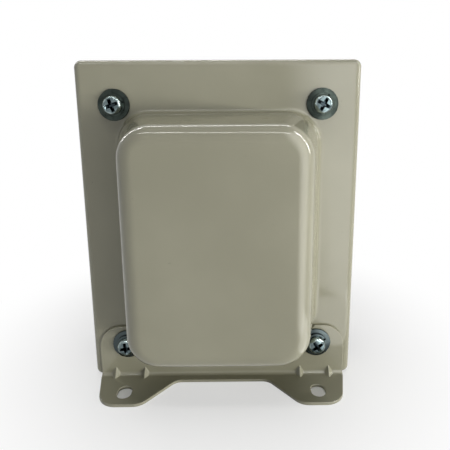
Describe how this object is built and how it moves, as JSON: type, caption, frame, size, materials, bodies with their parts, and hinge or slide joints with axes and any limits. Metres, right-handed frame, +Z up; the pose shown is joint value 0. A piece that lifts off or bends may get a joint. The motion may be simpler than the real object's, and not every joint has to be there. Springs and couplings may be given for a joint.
{
  "type": "step-down transformer",
  "caption": "Step-down transformer with deep-drawn bell covers screwed through its core, foot brackets with slotted holes, and a barrier terminal block on the rear.",
  "frame": {"origin": "centre of the bottom of the bounding box, on the surface the feet stand on", "axes": "+Z up, -Y the front with the plain bell, +Y the rear with the terminal block, X across the width"},
  "size_m": [0.1046, 0.1238, 0.1263],
  "materials": {
    "paint": "gloss stove enamel, grey beige",
    "lamination": "stacked and varnished silicon steel sheet",
    "screw_steel": "bright zinc plate",
    "washer_steel": "dark zinc plate",
    "bobbin_plastic": "natural nylon",
    "winding": "enamelled copper wire, varnished",
    "paper": "varnished insulating paper",
    "sleeve": "insulating tube",
    "block_plastic": "black phenolic",
    "terminal_brass": "tinned brass",
    "lead_primary": "black PVC",
    "lead_secondary": "red PVC"
  },
  "bodies": {
    "root": {"front_cover": "paint", "rear_cover": "paint", "front_foot_bracket": "paint", "rear_foot_bracket": "paint", "core_e_laminations": "lamination", "core_i_laminations": "lamination", "bobbin": "bobbin_plastic", "primary_winding": "winding", "winding_insulation": "paper", "secondary_winding": "winding", "outer_wrap": "paper", "bolt_sleeves": "sleeve", "through_screws": "screw_steel", "front_plain_washers": "washer_steel", "front_spring_washers": "washer_steel", "rear_plain_washers": "washer_steel", "rear_spring_washers": "washer_steel", "rear_nuts": "screw_steel", "terminal_block": "block_plastic", "terminal_plates": "terminal_brass", "terminal_clamps": "screw_steel", "terminal_screws": "screw_steel", "block_screws": "screw_steel", "block_nuts": "screw_steel", "primary_leads": "lead_primary", "secondary_leads": "lead_secondary"}
  },
  "joints": []
}
